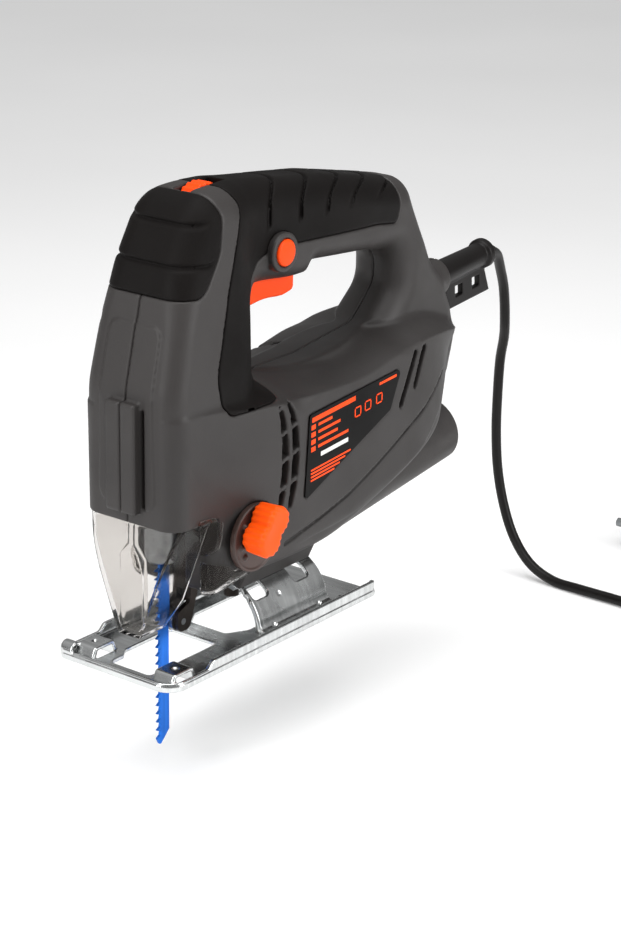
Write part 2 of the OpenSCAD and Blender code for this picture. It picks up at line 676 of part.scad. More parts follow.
module coil_tie() {
    color("#1c1c1e") translate([coil_at.x + coil_mean_r, coil_at.y, bench_z + coil_layers * cord_d])
        translate([-coil_rings * cord_r - 1, -3, 0]) cube([2 * coil_rings * cord_r + 2, 6, 1.2]);
}
plug_at = [374, -80, lay_z];
module plug_body() {
    color("#161413") translate(plug_at) {
        rod_y(cord_r, 0, 14);
        translate([-9, 14, -cord_r]) cube([18, 24, 16]);
        translate([-17.5, 38, -cord_r]) cube([35, 8, 26]);
    }
}
module plug_pins() {
    color("#c9ccce") for (side = [-1, 1]) translate(plug_at + [side * 9.5, 46, 10.4]) rod_y(2.4, 0, 19);
}

housing_left();
housing_right();
grip_left();
grip_right();
nose_pad_left();
nose_pad_right();
rating_label();
housing_screws();
gearcase();
upper_bush();
lower_bush();
felt_wiper();
gear_axle();
front_bearing();
rear_bearing();
stator_core();
field_coils();
brush_holders();
carbon_brushes();
switch_body();
speed_control();
cord_clamp();
trigger_pin();
cord_boot();
cord();
cord_coil();
cord_tail();
coil_tie();
plug_body();
plug_pins();
blade_guard();
dust_tube();
pendulum_scale();
bracket_seat();
clamp_plate();
bracket_screws();
fork_pin();
plunger();
yoke();
blade_clamp();
clamp_screws();
saw_blade();
drive_gear();
crank_pin();
motor_shaft();
armature_core();
armature_winding();
commutator();
fan();
base_plate();
bevel_bracket();
trigger();
lock_button();
speed_dial();
pendulum_knob();
knob_shaft();
pendulum_fork();
guide_roller();
roller_pin();
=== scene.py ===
import json
import math
import bpy
import numpy as np
from mathutils import Matrix, Vector


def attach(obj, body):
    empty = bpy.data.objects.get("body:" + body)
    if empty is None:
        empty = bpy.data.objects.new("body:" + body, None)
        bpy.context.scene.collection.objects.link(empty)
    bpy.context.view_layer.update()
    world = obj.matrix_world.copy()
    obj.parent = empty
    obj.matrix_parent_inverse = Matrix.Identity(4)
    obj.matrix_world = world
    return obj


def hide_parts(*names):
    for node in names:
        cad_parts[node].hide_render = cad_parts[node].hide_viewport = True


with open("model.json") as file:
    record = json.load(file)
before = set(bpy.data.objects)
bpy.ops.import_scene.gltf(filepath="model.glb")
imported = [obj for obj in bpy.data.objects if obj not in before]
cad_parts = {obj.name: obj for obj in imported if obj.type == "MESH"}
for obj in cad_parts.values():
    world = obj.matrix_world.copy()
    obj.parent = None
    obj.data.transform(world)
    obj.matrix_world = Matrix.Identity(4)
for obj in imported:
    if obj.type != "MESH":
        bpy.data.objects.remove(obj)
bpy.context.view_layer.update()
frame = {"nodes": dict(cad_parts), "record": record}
MM = 0.001                       # the shapes below are worked out in millimetres
FINE = 0.9     # size of a surface cell on the housing
SMALL = 0.5    # size of a surface cell on sheet metal and small mouldings
GAP = 0.12                       # half of the gap at the parting line
FAR = 9                          # a distance that cuts or adds nothing

# ---------------------------------------------------------------- camera
camera_data = bpy.data.cameras.new("camera")
camera = bpy.data.objects.new("camera", camera_data)
bpy.context.scene.collection.objects.link(camera)
bpy.context.scene.camera = camera
camera_data.sensor_fit = "VERTICAL"
camera_data.sensor_height = 36.0
camera_data.lens = 96.67
camera_data.clip_start = 0.01
camera_right = Vector((0.6132, -0.7898, 0.0134)).normalized()
camera_back = Vector((-0.7462, -0.5736, 0.3378)).normalized()
camera_up = camera_back.cross(camera_right)
camera_right = camera_up.cross(camera_back)
axes = Matrix((camera_right, camera_up, camera_back)).transposed().to_4x4()
camera.matrix_world = Matrix.Translation((-0.7590, -0.6644, 0.4501)) @ axes


# ---------------------------------------------------------------- small helpers
def unit(v):
    return v / np.linalg.norm(v)


def smooth(a, b, t):
    """0 below a, 1 above b, with a soft step between."""
    u = np.clip((t - a) / (b - a), 0, 1)
    return u * u * (3 - 2 * u)


def smax(a, b, k):
    """The larger of a and b, blended over k."""
    h = np.maximum(k - np.abs(a - b), 0) / k
    return np.maximum(a, b) + h * h * k / 4


def smin(a, b, k):
    return -smax(-a, -b, k)


def both(a, b, r):
    """Inside a and b, with the edge between them rounded to radius r."""
    return np.minimum(np.maximum(a, b), -r) + np.hypot(np.maximum(a + r, 0), np.maximum(b + r, 0))


def curve(points):
    """A smooth function through a few [t, value] points."""
    t = np.array([p[0] for p in points], float)
    v = np.array([p[1] for p in points], float)
    slope = np.gradient(v, t)
    fine = np.linspace(t[0], t[-1], 600)
    i = np.clip(np.searchsorted(t, fine, side="right") - 1, 0, len(t) - 2)
    w = t[i + 1] - t[i]
    u = (fine - t[i]) / w
    value = (v[i] * (1 + 2 * u) * (1 - u) ** 2 + v[i + 1] * u * u * (3 - 2 * u)
             + slope[i] * w * u * (1 - u) ** 2 - slope[i + 1] * w * u * u * (1 - u))
    return lambda s: np.interp(s, fine, value)


def rounded(corners, steps=14):
    """A closed outline from [x, y, radius] corners, as points."""
    at = [np.array(c[:2], float) for c in corners]
    points = []
    for i, c in enumerate(corners):
        a, b = unit(at[i - 1] - at[i]), unit(at[(i + 1) % len(at)] - at[i])
        if c[2] == 0:
            points.append(at[i])
            continue
        half = math.acos(float(np.clip(a @ b, -1, 1))) / 2
        centre = at[i] + unit(a + b) * c[2] / math.sin(half)
        start, end = at[i] + a * c[2] / math.tan(half) - centre, at[i] + b * c[2] / math.tan(half) - centre
        points += [centre + c[2] * unit(start * (1 - s) + end * s) for s in np.linspace(0, 1, steps)]
    return np.array(points)


class Outline:
    """Signed distance to a closed outline, kept on a grid and read back with smooth weights."""

    def __init__(self, corners, step=0.5, margin=12):
        points = rounded(corners)
        self.low = points.min(0) - margin
        self.step = step
        self.count = np.ceil((points.max(0) + margin - self.low) / step).astype(int) + 4
        u = self.low[0] + (np.arange(self.count[0]) - 1) * step
        v = self.low[1] + (np.arange(self.count[1]) - 1) * step
        self.table = self.distance(points, *np.meshgrid(u, v, indexing="ij"))

    @staticmethod
    def distance(points, u, v):
        best = np.full(u.shape, 1e9)
        inside = np.zeros(u.shape, bool)
        for a, b in zip(points, np.roll(points, -1, 0)):
            d = b - a
            if d @ d == 0:
                continue
            s = np.clip(((u - a[0]) * d[0] + (v - a[1]) * d[1]) / (d @ d), 0, 1)
            best = np.minimum(best, (u - a[0] - s * d[0]) ** 2 + (v - a[1] - s * d[1]) ** 2)
            if a[1] != b[1]:
                inside ^= ((a[1] > v) != (b[1] > v)) & (u < d[0] * (v - a[1]) / d[1] + a[0])
        return np.where(inside, -1, 1) * np.sqrt(best)

    def __call__(self, u, v):
        top = (self.count - 4) * self.step + self.low
        cu, cv = np.clip(u, self.low[0], top[0]), np.clip(v, self.low[1], top[1])
        fu, fv = (cu - self.low[0]) / self.step, (cv - self.low[1]) / self.step
        iu, iv = fu.astype(int), fv.astype(int)
        total = np.hypot(u - cu, v - cv)
        for k, wu in enumerate(self.weights(fu - iu)):
            for m, wv in enumerate(self.weights(fv - iv)):
                total = total + wu * wv * self.table[iu + k, iv + m]
        return total

    @staticmethod
    def weights(t):
        return ((1 - t) ** 3 / 6, (3 * t ** 3 - 6 * t * t + 4) / 6,
                (-3 * t ** 3 + 3 * t * t + 3 * t + 1) / 6, t ** 3 / 6)


def surface(field, low, high, step, steepest=2.0):
    """Points and quads of the surface where field(x, y, z) is 0, inside a box."""
    low, high = np.array(low, float), np.array(high, float)
    block = 8
    count = np.ceil((high - low) / (step * block)).astype(int)
    corner = np.stack(np.meshgrid(*[np.arange(n) for n in count], indexing="ij"), -1).reshape(-1, 3) * block
    middle = low + (corner + block / 2) * step
    near = np.abs(field(*middle.T)) < steepest * step * block * 0.87 + step
    offsets = np.stack(np.meshgrid(*[np.arange(block + 1)] * 3, indexing="ij"), -1).reshape(-1, 3)
    cells, values = [], []
    for part in np.array_split(corner[near], max(1, near.sum() // 400)):
        index = part[:, None, :] + offsets[None]
        f = field(*(low + index * step).reshape(-1, 3).T).reshape((len(part),) + (block + 1,) * 3)
        lo, hi = f[:, :-1, :-1, :-1], f[:, :-1, :-1, :-1]
        for dx, dy, dz in np.ndindex(2, 2, 2):
            g = f[:, dx:block + dx, dy:block + dy, dz:block + dz]
            lo, hi = np.minimum(lo, g), np.maximum(hi, g)
        b, i, j, k = np.nonzero((lo < 0) & (hi >= 0))
        cells.append(part[b] + np.stack((i, j, k), 1))
        values.append(np.stack([f[b, i + d[0], j + d[1], k + d[2]] for d in np.ndindex(2, 2, 2)], 1))
    cells, values = np.concatenate(cells), np.concatenate(values)
    offset = np.array(list(np.ndindex(2, 2, 2)), float)
    total, crossings = np.zeros((len(cells), 3)), np.zeros(len(cells))
    for a in range(8):
        for bit in (1, 2, 4):
            b = a | bit
            if b == a:
                continue
            fa, fb = values[:, a], values[:, b]
            hit = (fa < 0) != (fb < 0)
            s = np.where(hit, fa / np.where(hit, fa - fb, 1), 0)
            total += hit[:, None] * (offset[a] + s[:, None] * (offset[b] - offset[a]))
            crossings += hit
    points = low + (cells + total / crossings[:, None]) * step
    for turn in range(3):
        h = 0.08
        f = field(*points.T)
        slope = np.stack([field(*(points + h * e).T) - field(*(points - h * e).T) for e in np.eye(3)], 1) / (2 * h)
        move = -f[:, None] * slope / np.maximum((slope ** 2).sum(1), 0.2)[:, None]
        size = np.linalg.norm(move, axis=1, keepdims=True)
        points = points + move * np.minimum(1, 0.5 * step / np.maximum(size, 1e-9))
    span = cells.max(0) + 3
    key = (cells[:, 0] * span[1] + cells[:, 1]) * span[2] + cells[:, 2]
    order = np.argsort(key)
    sorted_key = key[order]

    def find(c):
        k = (c[:, 0] * span[1] + c[:, 1]) * span[2] + c[:, 2]
        i = np.clip(np.searchsorted(sorted_key, k), 0, len(key) - 1)
        return np.where(sorted_key[i] == k, order[i], -1)

    quads = []
    for axis, bit in ((0, 4), (1, 2), (2, 1)):
        side_a, side_b = [np.eye(3, dtype=int)[(axis + n) % 3] for n in (1, 2)]
        fa, fb = values[:, 0], values[:, bit]
        cross = (fa < 0) != (fb < 0)
        c = cells[cross]
        ring = np.stack([find(c), find(c - side_a), find(c - side_a - side_b), find(c - side_b)], 1)
        good = (ring >= 0).all(1)
        flip = fa[cross] >= 0
        ring[flip] = ring[flip][:, ::-1]
        quads.append(ring[good])
    return points, np.concatenate(quads)


def add(name, points, faces, flat=False):
    """A mesh object from points in millimetres."""
    mesh = bpy.data.meshes.new(name)
    mesh.from_pydata((np.asarray(points) * MM).tolist(), [], [list(map(int, f)) for f in faces])
    mesh.validate()
    mesh.update()
    if not flat:
        mesh.shade_smooth()
    piece = bpy.data.objects.new(name, mesh)
    bpy.context.scene.collection.objects.link(piece)
    return piece


def place(piece, body, material, slot, *nodes):
    """Gives a finished piece its material and its body, and hides the CAD nodes it stands for."""
    piece.data.materials.append(material)
    if nodes:
        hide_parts(*nodes)
    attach(piece, body)
    return piece


def carve(name, field, low, high, step):
    points, quads = surface(field, low, high, step)
    return add(name, points, quads)


# ---------------------------------------------------------------- materials
class Maker:
    """Builds one procedural material, node by node."""

    def __init__(self, name, rough, metal=0.0, coat=0.0, specular=0.5):
        self.material = bpy.data.materials.new(name)
        self.material.use_nodes = True
        self.tree = self.material.node_tree
        self.shader = self.tree.nodes["Principled BSDF"]
        self.shader.inputs["Roughness"].default_value = rough
        self.shader.inputs["Metallic"].default_value = metal
        self.shader.inputs["Coat Weight"].default_value = coat
        self.shader.inputs["Specular IOR Level"].default_value = specular
        self.where = self.node("ShaderNodeTexCoord").outputs["Object"]

    def node(self, kind, **facts):
        made = self.tree.nodes.new(kind)
        for key, value in facts.items():
            setattr(made, key, value)
        return made

    def join(self, a, b):
        self.tree.links.new(a, b)

    def noise(self, scale, detail=3.0, stretch=None):
        at = self.where
        if stretch:
            mapping = self.node("ShaderNodeMapping")
            mapping.inputs["Scale"].default_value = stretch
            self.join(at, mapping.inputs["Vector"])
            at = mapping.outputs["Vector"]
        made = self.node("ShaderNodeTexNoise")
        made.inputs["Scale"].default_value = scale
        made.inputs["Detail"].default_value = detail
        self.join(at, made.inputs["Vector"])
        return made.outputs["Fac"]

    def ramp(self, source, stops):
        made = self.node("ShaderNodeValToRGB")
        while len(made.color_ramp.elements) < len(stops):
            made.color_ramp.elements.new(0.5)
        for element, (at, colour) in zip(made.color_ramp.elements, stops):
            element.position = at
            element.color = (*colour, 1)
        self.join(source, made.inputs["Fac"])
        return made.outputs["Color"]

    def grey(self, source, low, high, start=0.3, end=0.7):
        made = self.node("ShaderNodeMapRange")
        for key, value in (("From Min", start), ("From Max", end), ("To Min", low), ("To Max", high)):
            made.inputs[key].default_value = value
        self.join(source, made.inputs["Value"])
        return made.outputs["Result"]

    def mix(self, amount, a, b):
        made = self.node("ShaderNodeMix", data_type="RGBA")
        self.join(amount, made.inputs["Factor"])
        for socket, value in ((made.inputs["A"], a), (made.inputs["B"], b)):
            if isinstance(value, tuple):
                socket.default_value = (*value, 1)
            else:
                self.join(value, socket)
        return made.outputs["Result"]

    def bump(self, *layers):
        """Each layer is (height, how deep in metres)."""
        normal = None
        for height, depth in layers:
            made = self.node("ShaderNodeBump")
            made.inputs["Strength"].default_value = 1.0
            made.inputs["Distance"].default_value = depth
            self.join(height, made.inputs["Height"])
            if normal:
                self.join(normal, made.inputs["Normal"])
            normal = made.outputs["Normal"]
        self.join(normal, self.shader.inputs["Normal"])

    def edges(self, colour, worn, sharp=0.56, amount=0.5):
        """Paler colour where the surface is sharply curved."""
        pointy = self.node("ShaderNodeNewGeometry").outputs["Pointiness"]
        broken = self.node("ShaderNodeMath", operation="MULTIPLY")
        self.join(self.grey(pointy, 0, amount, sharp, sharp + 0.06), broken.inputs[0])
        self.join(self.grey(self.noise(220), 0.3, 1, 0.35, 0.6), broken.inputs[1])
        return self.mix(broken.outputs[0], colour, worn)

    def done(self, colour, rough=None):
        self.join(colour, self.shader.inputs["Base Color"])
        if rough:
            self.join(rough, self.shader.inputs["Roughness"])
        return self.material


def linear(code):
    """#rrggbb as linear colour."""
    values = [int(code[i:i + 2], 16) / 255 for i in (1, 3, 5)]
    return tuple(v / 12.92 if v < 0.04045 else ((v + 0.055) / 1.055) ** 2.4 for v in values)


def shade(colour, k):
    return tuple(c * k for c in colour)


def plastic(name, code, rough=0.42, grain=900, depth=0.00004, coat=0.0, worn=1.5, spread=0.12, specular=0.4):
    m = Maker(name, rough, coat=coat, specular=specular)
    base = linear(code)
    patch = m.ramp(m.noise(14, 4), [(0.3, shade(base, 1 - spread)), (0.7, shade(base, 1 + spread))])
    m.bump((m.noise(grain, 2), depth), (m.noise(60, 2), depth))
    return m.done(m.edges(patch, shade(base, worn)), m.grey(m.noise(35, 4), rough - 0.06, rough + 0.08))


def rubber(name, code):
    m = Maker(name, 0.62, specular=0.12)
    base = linear(code)
    dust = m.mix(m.grey(m.noise(30, 5), 0, 0.35, 0.45, 0.75), base, shade(base, 2.0))
    m.bump((m.noise(1500, 2), 0.00005), (m.noise(120, 3), 0.00005))
    return m.done(m.edges(dust, shade(base, 2.2)), m.grey(m.noise(25, 4), 0.5, 0.72))


def metal(name, code, rough=0.3, stretch=None, scale=300, dirt=0.35, depth=0.00003):
    m = Maker(name, rough, metal=1.0)
    base = linear(code)
    streaks = m.noise(scale, 4, stretch)
    tint = m.ramp(streaks, [(0.3, shade(base, 0.78)), (0.7, shade(base, 1.1))])
    stained = m.mix(m.grey(m.noise(24, 5), 0, dirt, 0.5, 0.75), tint, shade(base, 0.45))
    m.bump((streaks, depth))
    return m.done(m.edges(stained, shade(base, 1.3), 0.58), m.grey(m.noise(40, 4), rough - 0.08, rough + 0.14))


def clear_plastic():
    m = Maker("clear_plastic", 0.08)
    m.shader.inputs["Transmission Weight"].default_value = 1.0
    m.shader.inputs["IOR"].default_value = 1.14
    tint = m.ramp(m.noise(20, 4), [(0.3, (0.7, 0.68, 0.66)), (0.7, (0.82, 0.8, 0.78))])
    m.bump((m.noise(90, 3), 0.00004))
    return m.done(tint, m.grey(m.noise(45, 5), 0.05, 0.2, 0.45, 0.7))


def copper_wire():
    m = Maker("copper", 0.35, metal=1.0)
    wave = m.node("ShaderNodeTexWave")
    wave.inputs["Scale"].default_value = 350
    wave.inputs["Distortion"].default_value = 0.6
    m.join(m.where, wave.inputs["Vector"])
    m.bump((wave.outputs["Fac"], 0.0002))
    return m.done(m.ramp(wave.outputs["Fac"], [(0.2, linear("#6b2c14")), (0.8, linear("#c87040"))]))


def woven_felt():
    m = Maker("felt", 0.95)
    m.bump((m.noise(1800, 4), 0.0002))
    return m.done(m.ramp(m.noise(400, 4), [(0.3, linear("#8c8272")), (0.7, linear("#b8ae9c"))]))


paint = {
    "housing": plastic("housing", "#2c2928", 0.5, 1100, 0.00005),
    "soft_rubber": rubber("soft_rubber", "#0b0807"),
    "orange": plastic("orange", "#f44603", 0.42, 900, 0.00002, specular=0.18),
    "knob_orange": plastic("knob_orange", "#fb5406", 0.42, 900, 0.00002, specular=0.18),
    "black_plastic": plastic("black_plastic", "#0e0b0a", 0.4, specular=0.22),
    "disc": plastic("disc", "#40302b", 0.4),
    "label": plastic("label", "#070606", 0.4, 500, 0.00001, specular=0.1),
    "white_print": plastic("white_print", "#d8d8d4", 0.4),
    "zinc_steel": metal("zinc_steel", "#d2d4d4", 0.2, (1, 0.06, 0.06), 420, 0.25),
    "steel": metal("steel", "#8d9092", 0.32),
    "dark_steel": metal("dark_steel", "#3a3532", 0.38, dirt=0.6),
    "alloy": metal("alloy", "#a4a6a6", 0.5, scale=600, depth=0.0001),
    "bronze": metal("bronze", "#9c7038", 0.4),
    "copper": copper_wire(),
    "blade_blue": metal("blade_blue", "#2a72d6", 0.34, (1, 1, 0.08), 400, 0.3),
    "clear": clear_plastic(),
    "felt": woven_felt(),
    "carbon": plastic("carbon", "#1a1a1b", 0.6),
}
for row in frame["record"]["subparts"]:
    mesh = frame["nodes"][row["node"]].data
    mesh.materials.clear()
    mesh.materials.append(paint[row["material_slot"]])


# ---------------------------------------------------------------- cord
def spline(points, steps):
    """A smooth line through points, as a list of more points."""
    p = [2 * Vector(points[0]) - Vector(points[1])] + [Vector(q) for q in points]
    p.append(2 * p[-1] - p[-2])
    line = []
    for a, b, c, d in zip(p, p[1:], p[2:], p[3:]):
        for i in range(steps):
            t = i / steps
            line.append(0.5 * (2 * b + (c - a) * t + (2 * a - 5 * b + 4 * c - d) * t ** 2
                               + (3 * b - a - 3 * c + d) * t ** 3))
    return line + [p[-2]]


CORD_R = 2.6
LAY = -55 + CORD_R
boot_axis = Vector((math.cos(math.radians(5)), 0, math.sin(math.radians(5))))
boot_start = Vector((188, 0, 128.2))
route = [boot_start + s * boot_axis for s in (56, 60)] + [Vector(p) for p in (
    (251, 0, 132), (258, 1.5, 128), (267, 5, 118), (274, 7.5, 108), (278, 9, 98), (282, 11, 87), (288, 15, 76),
    (293, 20, 62), (295, 22, 45), (295, 22, 22), (295, 20, 0), (295, 15, -20), (294, 7, -36), (292, -5, -47),
    (291, -20, LAY), (290, -38, LAY), (290, -60, LAY), (289, -82, LAY), (289, -104, LAY))]
coil = []
for i in range(24 * 8 - 11):
    t = i / 24
    r = 36.6 + 4.6 * smooth(0.45, 0, t) if t < 0.45 else 36.6 - 5.4 * (t - 0.4)
    r = max(float(r), 20.4) if t < 3.6 else 20.4 + 5.4 * (t - 3.6)
    z = LAY + 5.3 * smooth(3.25, 3.75, t) - 3.2 * smooth(7.3, 7.5, t)
    angle = math.pi + 2 * math.pi * t
    coil.append(Vector((330 + r * math.cos(angle), -104 + r * math.sin(angle), float(z))))
tail = [Vector(p) for p in ((372, -97, LAY + 0.9), (373, -89, LAY), (374, -80, LAY), (374, -72, LAY))]
line = spline(route[:-1], 6) + spline(coil[:-1], 2) + spline(tail, 4)


def pipe(name, points, radius, sides=6):
    """A round cord along points in millimetres, as a curve."""
    data = bpy.data.curves.new(name, "CURVE")
    data.dimensions = "3D"
    data.bevel_depth = radius * MM
    data.bevel_resolution = sides
    data.use_fill_caps = True
    made = data.splines.new("POLY")
    made.points.add(len(points) - 1)
    for slot, p in zip(made.points, points):
        slot.co = (*(p * MM), 1)
    made.use_smooth = True
    piece = bpy.data.objects.new(name, data)
    bpy.context.scene.collection.objects.link(piece)
    return piece


cord_piece = place(pipe("mains_lead", line, CORD_R), "frame_body", paint["black_plastic"], "black_plastic",
                   "cord", "cord_tail", "cord_coil")


def plug_form(x, y, z):
    x, y, z = x - 374, y + 80, z - LAY
    h = z - 5.4
    around = np.hypot(x, z)
    relief = np.maximum(around - (4.6 - 0.11 * (14 - y)) - 0.35 * np.cos(y * 2.1), np.maximum(-y, y - 15))
    grip = np.hypot(np.maximum(np.abs(x) - 4, 0), np.maximum(np.abs(h) - 3, 0)) - 5 - 0.4 * np.cos(y * 1.6)
    grip = both(grip, np.abs(y - 27) - 13, 2)
    flange = np.hypot(np.maximum(np.abs(x) - 9, 0), np.maximum(np.abs(h - 5) - 4.5, 0)) - 8.4
    flange = both(flange, np.abs(y - 42) - 4, 1.2)
    return np.maximum(smin(smin(relief, grip, 2), flange, 3), -2.6 - z)


def tie_form(x, y, z):
    x, y, z = x - 358, y + 104, z + 55
    loop = both(np.maximum(np.abs(x) - 12.2, np.abs(z - 5.6) - 6.2), np.abs(y) - 2.5, 0.4)
    hole = np.maximum(np.abs(x) - 11, np.abs(z - 5.4) - 5.3)
    knob = np.hypot(np.hypot(x, y), (z - 11.6) * 1.6) - 2.6
    return smin(np.maximum(loop, -hole), knob, 0.6)


plug = carve("plug", plug_form, (354, -82, -56), (394, -32, -26), SMALL)
place(plug, "frame_body", paint["black_plastic"], "black_plastic", "plug_body")
tie = carve("lead_tie", tie_form, (343, -109, -56), (372, -99, -39), SMALL)
place(tie, "frame_body", paint["soft_rubber"], "soft_rubber", "coil_tie")


# ---------------------------------------------------------------- housing shape, in millimetres
side = Outline([[6.5, 31, 3], [96, 31, 8], [178, 63, 20], [202, 84, 10], [206, 104, 12], [198, 131, 10],
                [184, 146, 14], [172, 168, 14], [161, 187, 14], [100, 199, 60], [36, 207, 20], [6, 206, 20],
                [-9, 178, 40], [-21.5, 126, 40], [-21.5, 50, 1], [6.5, 50, 0.5]])
hole = Outline([[47, 117, 12], [92, 117, 60], [134, 122, 12], [151, 138, 10], [151, 154, 9], [122, 160, 20],
                [84.5, 163.3, 3], [80.5, 158.4, 2],
                [47, 158, 4]])
grip_zone = Outline([[10.5, 112.5, 6], [46, 112, 2], [56, 118, 4], [48, 132, 8], [41, 146, 4],
                     [36.5, 152, 3], [37.5, 165, 5],
                     [44, 172, 4], [54, 175.3, 3], [72, 175, 4], [128, 172, 8], [144.5, 169.5, 4],
                     [147, 178, 5], [146, 215, 0], [24, 215, 0], [28, 200, 4],
                     [17, 166, 30], [7, 130, 20]])
pad_zone = Outline([[-40, 166, 0], [1, 166, 10], [12, 182, 20], [15, 198, 6], [13.5, 208, 3], [13.5, 220, 0],
                    [-40, 220, 0]])
COVER, WALL = 2.6, 4.4
plan_width = curve([[-40, 24.5], [-21.5, 26], [-5, 27.2], [15, 29], [40, 31.7], [60, 32.4], [80, 32.5],
                    [135, 32.5],
                    [150, 31.8], [165, 29.4], [185, 23.2], [200, 17.4], [230, 6]])
shoulder_z = curve([[-40, 118], [0, 116.5], [39, 111.5], [73, 109.7], [103, 109.5], [128, 114], [150, 116],
                    [175, 113.5], [190, 110],
                    [205, 106], [230, 104]])
nose_width = curve([[60, 26], [130, 26], [150, 25], [165, 24], [185, 23], [200, 22], [225, 20]])
handle_width = curve([[-40, 19], [25, 19], [45, 17.4], [75, 18.8], [125, 19], [150, 17.6],
                      [170, 15.6], [190, 13.5], [230, 12]])
swoosh_z = curve([[40, 44.8], [54.2, 46.8], [75.2, 51.4], [92.5, 55.9], [112.1, 63.8], [135.6, 74.5],
                  [152.7, 82.3], [160.7, 87.4],
                  [171, 95], [190, 110], [230, 140]])
hem_z = curve([[40, 41], [60.6, 42.6], [95, 44.7], [117.2, 48.6], [137.7, 55.2], [155.1, 64],
               [170, 76], [185, 92], [230, 130]])
crease_x = curve([[20, 45], [71, 29], [90, 17], [124, -2], [225, -60]])
belly_z = curve([[-40, 31], [6.5, 31], [88, 31], [112, 37], [178, 63], [202, 84], [215, 110]])
bottom_width = curve([[-12, 8], [0, 19], [2, 21.5], [7, 28], [13, 31.2], [19, 32.6], [60, 33]])


def half_width(x, z):
    above = np.maximum(z - shoulder_z(x), 0)
    body = smin(plan_width(x), np.maximum(31.6 + 0.22 * (x - crease_x(z)), 26), 0.4)
    body = body - 1.55 * above - 0.055 * above ** 2
    low = smooth(0.8, -0.8, z - swoosh_z(x)) * smooth(44, 60, x)
    lower = smooth(0.8, -0.8, z - hem_z(x)) * smooth(52, 70, x)
    body = body - 0.9 * low - 1.3 * lower - 4.0 * smooth(114, 98, z) * smooth(168, 198, x)
    body = smin(body, bottom_width((z - belly_z(x)) * 0.93), 1.5)
    nose = nose_width(z) - (nose_width(z) - 12) * smooth(22, 56, x)
    return smax(smax(body, nose, 3.5), handle_width(x) * smooth(60, 100, z), 3.5)


def path_distance(points, u, v):
    best = np.full(np.shape(u), 1e9)
    for a, b in zip(points, points[1:]):
        d = np.array(b, float) - a
        s = np.clip(((u - a[0]) * d[0] + (v - a[1]) * d[1]) / (d @ d), 0, 1)
        best = np.minimum(best, np.hypot(u - a[0] - s * d[0], v - a[1] - s * d[1]))
    return best


def body_form(x, y, z):
    """The housing's outer form, before its openings."""
    w = half_width(x, z)
    slope = np.hypot((half_width(x + 0.4, z) - w) / 0.4, (half_width(x, z + 0.4) - w) / 0.4)
    lateral = (np.abs(y) - w) / np.sqrt(1 + np.minimum(slope, 2.5) ** 2)
    outer, inner = side(x, z), -hole(x, z)
    r = 9.5 + 3.5 * smooth(150, 180, z) - 2 * smooth(60, 40, z) * smooth(20, 40, x)
    r = r + 3.5 * smooth(150, 172, x) * smooth(116, 128, z)
    r = np.where(inner > outer, 9 + 6 * smooth(75, 55, x) + 5 * smooth(122, 145, x), r)
    form = both(np.maximum(outer, inner), lateral, r)
    form = both(form, np.minimum(68 - z, 6.5 - x), 0.8)
    panel_side = np.hypot(np.maximum(np.abs(y) - 10.5 + 0.02 * (z - 76), 0),
                          np.maximum(np.abs(z - 115.5) - 34.5, 0)) - 5
    form = smin(form, np.maximum(np.maximum(form - 0.55, panel_side), x), 0.35)
    keel = both(np.maximum(np.abs(x + 15) - 11.2, np.abs(y) - 8), np.abs(z - 98.3) - 24.4, 0.8)
    return smin(form, keel, 0.8)


def line_axis(start, rise):
    c, s = math.cos(math.radians(rise)), math.sin(math.radians(rise))
    return lambda x, y, z: ((x - start[0]) * c + (z - start[2]) * s,
                            np.hypot(-(x - start[0]) * s + (z - start[2]) * c, y))


tube_line = line_axis((96, 0, 38.5), 7.3)
boot_line = line_axis((188, 0, 128.2), 5)
vent_columns = [[(42, 61), (44.9, 72), (46.4, 82), (46.2, 92.6), (44.4, 104), (42.5, 110)],
                [(49.2, 61), (52.2, 72.8), (53.4, 85), (53, 96.6), (50.6, 106), (49, 110)]]
rear_vents = [[(142, 111), (130.8, 89)], [(149.3, 112), (142, 95.5)]]
swoosh = [(47, 45.6), (54.2, 46.8), (75.2, 51.4), (92.5, 55.9), (112.1, 63.8), (135.6, 74.5), (152.7, 82.3),
          (160.7, 87.4), (171, 95)]
screw_spots = [(-9.6, 152), (-12, 78), (60, 38.5), (104, 112), (171, 74), (189, 104), (168, 150), (104, 166),
               (45, 195)]


def covered(zone, form, x, z):
    """form with a recess for a soft cover, its rim slightly rounded."""
    zone_distance = zone(x, z)
    return smin(both(form, -zone_distance, 0.6), form + COVER, 0.3)


